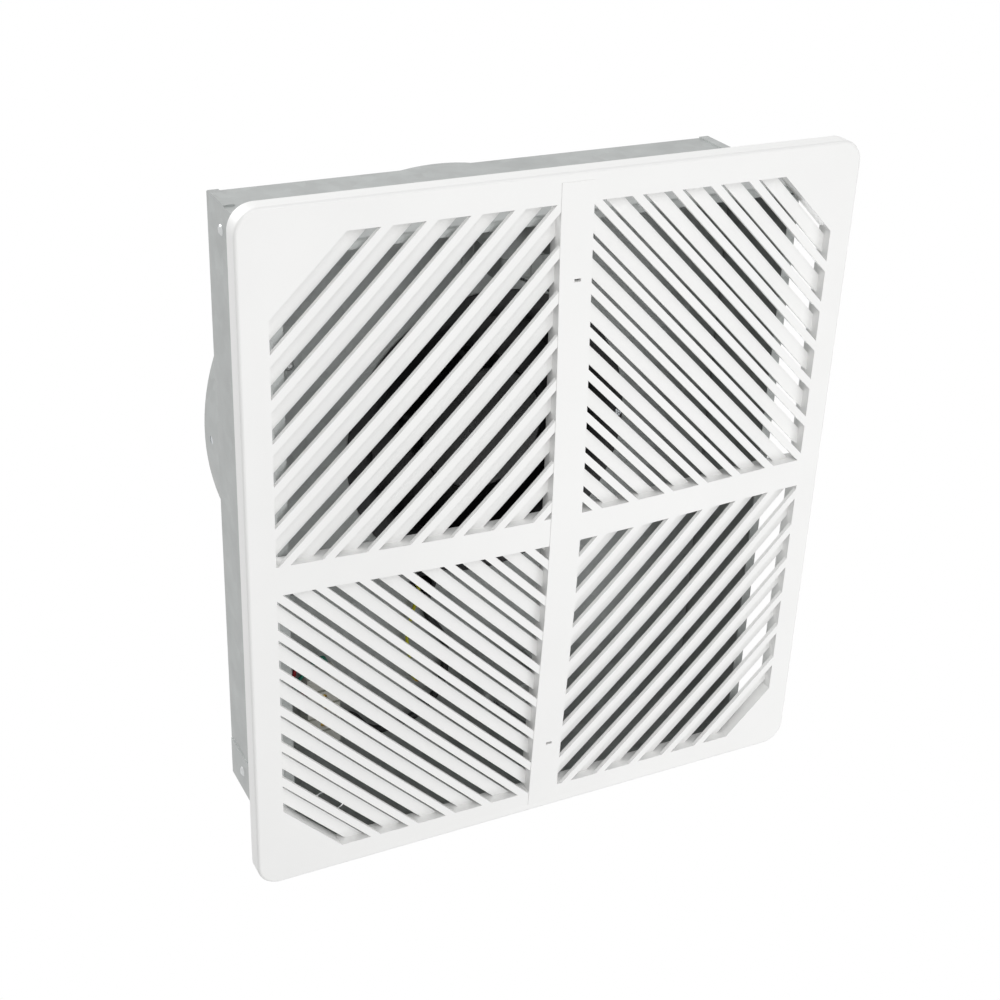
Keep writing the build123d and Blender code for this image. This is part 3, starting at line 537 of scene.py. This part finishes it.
@dataclass
class AirPath:
    """The inlet ring, the wheel, its motor and the outlet drum with the damper.

    Attributes:
        black_nodes: The pieces of black moulded nylon.
        motor_nodes: The enamelled motor.
        sheet_nodes: The zinc-coated pieces of the outlet.
        rivet_nodes: The plated rivets of the drum and the motor's spider.
        screw_nodes: The zinc-plated screws and the damper's rod.
        flap_nodes: The damper's two aluminium flaps.
        nylon: The finish of the moulded pieces.
        enamel: The motor's finish.
        plated: The finish of the screws and the rod.
        aluminium: The flaps' finish.
    """

    black_nodes: tuple[str, ...] = ("inlet_ring", "impeller", "impeller_shroud")
    motor_nodes: tuple[str, ...] = ("motor_rotor", "motor_stator")
    sheet_nodes: tuple[str, ...] = ("motor_spider", "outlet_drum", "damper_seat")
    rivet_nodes: tuple[str, ...] = ("drum_rivets", "spider_rivets")
    screw_nodes: tuple[str, ...] = ("inlet_screws", "rotor_screws", "motor_screws", "damper_rod")
    flap_nodes: tuple[str, ...] = ("damper_flap_front", "damper_flap_rear")
    nylon: Finish = Finish(
        # Glass-filled nylon, moulded: near black, a satin skin with the cloudy flow of the fibres
        "black_glass_filled_nylon",
        "#1B1B1D",
        0.46,
        ior=1.53,
        relief_mm=0.9,
        relief=0.12,
        mottle_mm=18.0,
        mottle=0.25,
        sheen_change=0.08,
    )
    enamel: Finish = Finish(
        # Baked enamel on a steel can: black with a soft gloss and a little orange peel
        "black_motor_enamel",
        "#161617",
        0.3,
        ior=1.52,
        relief_mm=1.6,
        relief=0.06,
        mottle_mm=25.0,
        mottle=0.1,
        sheen_change=0.05,
    )
    plated: Finish = Finish(
        # Zinc-plated screws and rod: bright with a faint blue, worn a little duller in patches
        "zinc_plated_steel",
        "#BFC3C6",
        0.28,
        metallic=1.0,
        relief_mm=0.6,
        relief=0.05,
        mottle_mm=3.0,
        mottle=0.08,
        sheen_change=0.07,
    )
    aluminium: Finish = Finish(
        # Mill-finish aluminium sheet: pale, with the fine lines of the rolls along the flap
        "mill_aluminium",
        "#D9DBDB",
        0.34,
        metallic=1.0,
        relief_mm=0.8,
        relief=0.12,
        relief_axis=Axis.ALONG_X,
        mottle_mm=40.0,
        mottle=0.04,
        sheen_change=0.06,
    )

    def dress(self, dresser: Dresser, rivets: Finish) -> None:
        """Dresses the air path.

        Args:
            dresser: Puts the finishes on.
            rivets: The finish of the rivets.
        """
        dresser.dress(self.nylon, *self.black_nodes)
        dresser.dress(self.enamel, *self.motor_nodes)
        dresser.dress(ZINC_SHEET, *self.sheet_nodes)
        dresser.dress(rivets, *self.rivet_nodes)
        dresser.dress(self.plated, *self.screw_nodes)
        dresser.dress(self.aluminium, *self.flap_nodes)


@dataclass
class Grille:
    """The white moulding below the ceiling, and the wire springs that hold it up.

    Attributes:
        spring_nodes: The two torsion springs.
        styrene: The moulding's finish.
        wire: The springs' finish.
    """

    spring_nodes: tuple[str, ...] = ("grille_spring_front", "grille_spring_rear")
    styrene: Finish = Finish(
        # Injection-moulded styrene: clean white with a satin skin, even all over, and a very fine
        # grain, drawn at 0.7 mm so that it shows
        "white_moulded_styrene",
        "#F2F2F1",
        0.4,
        ior=1.59,
        relief_mm=0.7,
        relief=0.03,
        mottle_mm=70.0,
        mottle=0.012,
        sheen_change=0.03,
    )
    wire: Finish = Finish(
        # Hard-drawn spring wire: dark bright steel, with draw marks too fine to see as lines
        "drawn_spring_wire",
        "#9A9C9E",
        0.26,
        metallic=1.0,
        relief_mm=0.4,
        relief=0.05,
        mottle_mm=4.0,
        mottle=0.1,
        sheen_change=0.06,
    )

    def dress(self, dresser: Dresser) -> None:
        """Dresses the moulding and its springs."""
        dresser.dress(self.styrene, "grille")
        dresser.dress(self.wire, *self.spring_nodes)


@dataclass
class Wiring:
    """The terminal block, the cable and the loose wires inside the housing.

    Attributes:
        nylon: The terminal block's finish.
        brass: The finish of the clamp screws, the earth screw and its lug.
        rubber: The grommet's finish.
        sheath: The motor cable's finish.
        earth: The earth wire's finish.
        red: The red link wire's finish.
        green: The green link wire's finish.
    """

    nylon: Finish = Finish(
        # Unfilled nylon: milky white, slightly yellow, with a waxy skin
        "natural_nylon",
        "#E4E3DA",
        0.38,
        ior=1.53,
        relief_mm=0.6,
        relief=0.04,
        mottle_mm=10.0,
        mottle=0.05,
    )
    brass: Finish = Finish(
        # Turned brass: yellow metal, dulled by handling
        "turned_brass",
        "#C9A85C",
        0.3,
        metallic=1.0,
        relief_mm=0.4,
        relief=0.06,
        mottle_mm=3.0,
        mottle=0.12,
        sheen_change=0.08,
    )
    rubber: Finish = Finish(
        # Vulcanised rubber: black and dull, with a bloom in patches
        "black_rubber",
        "#1C1C1C",
        0.72,
        ior=1.52,
        relief_mm=0.7,
        relief=0.1,
        mottle_mm=5.0,
        mottle=0.2,
    )
    sheath: Finish = Finish(
        # Extruded PVC cable sheath: black and smooth, with a soft shine
        "black_pvc_sheath",
        "#18181A",
        0.42,
        ior=1.53,
        relief_mm=1.2,
        relief=0.06,
        mottle_mm=12.0,
        mottle=0.15,
    )
    earth: Finish = StripedPvc(
        # Extruded PVC core cover: yellow with one green stripe, glossy
        "yellow_green_pvc",
        "#D8D21F",
        0.34,
        ior=1.53,
        relief_mm=0.8,
        relief=0.04,
        mottle_mm=9.0,
        mottle=0.06,
    )
    red: Finish = Finish(
        # Extruded PVC core cover: signal red, glossy
        "red_pvc",
        "#B4202A",
        0.34,
        ior=1.53,
        relief_mm=0.8,
        relief=0.04,
        mottle_mm=9.0,
        mottle=0.08,
    )
    green: Finish = Finish(
        # Extruded PVC core cover: sea green, glossy
        "green_pvc",
        "#14806A",
        0.34,
        ior=1.53,
        relief_mm=0.8,
        relief=0.04,
        mottle_mm=9.0,
        mottle=0.08,
    )

    def dress(self, dresser: Dresser) -> None:
        """Dresses the wiring.

        Args:
            dresser: Puts the finishes on.
        """
        dresser.dress(self.nylon, "terminal_block")
        dresser.dress(self.brass, "terminal_screws", "earth_screw", "earth_lug")
        dresser.dress(self.rubber, "deck_grommet")
        dresser.dress(self.sheath, "motor_cable")
        dresser.dress(self.earth, "earth_wire")
        dresser.dress(self.red, "link_wire_red")
        dresser.dress(self.green, "link_wire_green")


@dataclass
class Studio:
    """A pale floor, soft lamps above and below the fan and a white surround.

    The floor lies just lower than the grille's lowest reach. It shows from above only: from below,
    where the photograph looks from, it lets the white surround through.

    Attributes:
        floor_gap: How far the floor lies under the grille's lowest reach, in metres.
        floor_reach: Half the floor's width, in metres.
        floor_colour: The floor's sRGB hex colour near the fan.
        fade: Where the floor starts and ends its change to the surround's white, in metres.
        ambient: The surround's light on the object.
        lamps: Each lamp's name, place, width and power.
    """

    floor_gap: float = 0.002
    floor_reach: float = 30.0
    floor_colour: str = "#F4F4F4"
    fade: tuple[float, float] = (0.45, 1.5)
    ambient: float = 0.5
    lamps: tuple[tuple[str, tuple[float, float, float], float, float], ...] = (
        ("key_below", (-0.4, -1.7, -1.9), 1.6, 25.0),
        ("fill_below", (1.2, 1.0, -1.9), 1.8, 17.0),
        ("key_above", (-1.3, -1.6, 2.0), 1.6, 40.0),
        ("fill_above", (1.7, 1.3, 1.5), 1.8, 18.0),
    )

    def build(self, lowest: float) -> None:
        """Sets up the surround, the floor and the lamps.

        Args:
            lowest: The lowest z that the object reaches in any pose, in metres.
        """
        self.surround()
        self.floor(lowest - self.floor_gap)
        for name, place, width, power in self.lamps:
            self.lamp(name, Vector(place), width, power)

    def surround(self) -> None:
        """Adds the surround: white to the camera and in reflections, dimmer as light on the fan."""
        world = bpy.data.worlds.new("studio")
        bpy.context.scene.world = world
        world.use_nodes = True
        tree = world.node_tree
        tree.nodes.clear()
        path = add_node(tree, "ShaderNodeLightPath")
        seen = add_node(
            tree,
            "ShaderNodeMath",
            {"operation": "MAXIMUM"},
            {0: path.outputs["Is Camera Ray"], 1: path.outputs["Is Glossy Ray"]},
        )
        strength = add_node(
            tree,
            "ShaderNodeMapRange",
            {"To Min": self.ambient, "To Max": 1.0},
            {"Value": seen.outputs["Value"]},
        )
        light = add_node(
            tree,
            "ShaderNodeBackground",
            {"Color": WHITE},
            {"Strength": strength.outputs["Result"]},
        )
        add_node(tree, "ShaderNodeOutputWorld", links={"Surface": light.outputs["Background"]})

    def floor(self, height: float) -> None:
        """Adds the floor, which neither lights, mirrors in nor shades the fan.

        Args:
            height: The floor's z, in metres.
        """
        reach = self.floor_reach
        mesh = bpy.data.meshes.new("floor")
        corners = [(-reach, -reach), (reach, -reach), (reach, reach), (-reach, reach)]
        mesh.from_pydata([(x, y, height) for x, y in corners], [], [(0, 1, 2, 3)])
        mesh.materials.append(self.floor_material())
        floor = bpy.data.objects.new("floor", mesh)
        bpy.context.scene.collection.objects.link(floor)
        floor.visible_diffuse = False
        floor.visible_glossy = False
        floor.visible_transmission = False
        floor.visible_shadow = False

    def floor_material(self) -> bpy.types.Material:
        """Makes the floor's material: pale from above, fading to white far off, clear from below.

        Returns:
            The material.
        """
        material = bpy.data.materials.new("pale_floor")
        material.use_nodes = True
        tree = material.node_tree
        tree.nodes.clear()
        side = add_node(tree, "ShaderNodeNewGeometry")
        matt = add_node(tree, "ShaderNodeBsdfDiffuse", {"Color": linear(self.floor_colour)})
        white = add_node(tree, "ShaderNodeEmission", {"Color": WHITE})
        away = add_node(
            tree,
            "ShaderNodeVectorMath",
            {"operation": "LENGTH"},
            {0: side.outputs["Position"]},
        )
        nearest, farthest = self.fade
        far = add_node(
            tree,
            "ShaderNodeMapRange",
            {"interpolation_type": "SMOOTHSTEP", "From Min": nearest, "From Max": farthest},
            {"Value": away.outputs["Value"]},
        )
        top = add_node(
            tree,
            "ShaderNodeMixShader",
            links={0: far.outputs["Result"], 1: matt.outputs["BSDF"], 2: white.outputs["Emission"]},
        )
        clear = add_node(tree, "ShaderNodeBsdfTransparent")
        mix = add_node(
            tree,
            "ShaderNodeMixShader",
            links={
                0: side.outputs["Backfacing"],
                1: top.outputs["Shader"],
                2: clear.outputs["BSDF"],
            },
        )
        add_node(tree, "ShaderNodeOutputMaterial", links={"Surface": mix.outputs["Shader"]})
        return material

    def lamp(self, name: str, place: Vector, width: float, power: float) -> None:
        """Adds one square soft lamp that points at the fan.

        Args:
            name: The lamp's name.
            place: Where it hangs, in metres.
            width: Its side, in metres.
            power: Its power in watts.
        """
        light = bpy.data.lights.new(name, "AREA")
        light.size = width
        light.energy = power
        lamp = bpy.data.objects.new(name, light)
        lamp.location = place
        lamp.rotation_euler = (-place).to_track_quat("-Z", "Y").to_euler()
        bpy.context.scene.collection.objects.link(lamp)


@dataclass
class Viewpoint:
    """The photograph's camera: below the grille, off one corner.

    Attributes:
        place: The camera's place, in metres.
        ahead: The way it looks.
        upward: The way that is up in the picture.
        lens: The focal length in millimetres on the sensor's width.
        sensor: The sensor's width in millimetres.
        nearest: The nearest distance that it shows, in metres.
    """

    place: tuple[float, float, float] = (-0.4718, -0.5389, -0.8504)
    ahead: tuple[float, float, float] = (0.408, 0.469, 0.783)
    upward: tuple[float, float, float] = (0.180, -0.882, 0.435)
    lens: float = 60.59
    sensor: float = 36.0
    nearest: float = 0.01

    def build(self) -> None:
        """Makes the camera and gives it to the scene."""
        ahead = Vector(self.ahead).normalized()
        right = ahead.cross(Vector(self.upward)).normalized()
        above = right.cross(ahead)
        turn = Matrix((right, above, -ahead)).transposed().to_4x4()
        data = bpy.data.cameras.new("photograph_view")
        data.lens = self.lens
        data.sensor_width = self.sensor
        data.sensor_fit = "HORIZONTAL"
        data.clip_start = self.nearest
        camera = bpy.data.objects.new("photograph_view", data)
        camera.matrix_world = Matrix.Translation(Vector(self.place)) @ turn
        bpy.context.scene.collection.objects.link(camera)
        bpy.context.scene.camera = camera


def lowest_reach() -> float:
    """The lowest z that the grille reaches when it is pulled down, in metres."""
    drop = max(joint["range_m"][1] for joint in frame["joints"] if joint["type"] == "slide")
    return cad_box[0][2] - drop


def main() -> None:
    """Dresses the fan, then sets up the studio and the camera."""
    logging.basicConfig(level=logging.INFO, format="%(name)s: %(message)s")
    bpy.context.scene.view_settings.view_transform = "Standard"
    dresser = Dresser(frame["nodes"])
    housing = Housing()
    housing.dress(dresser)
    AirPath().dress(dresser, housing.rivets)
    Grille().dress(dresser)
    Wiring().dress(dresser)
    Studio().build(lowest_reach())
    Viewpoint().build()
    LOG.info("nodes dressed with %d finishes", len(dresser.made))


if __name__ == "__main__":
    main()
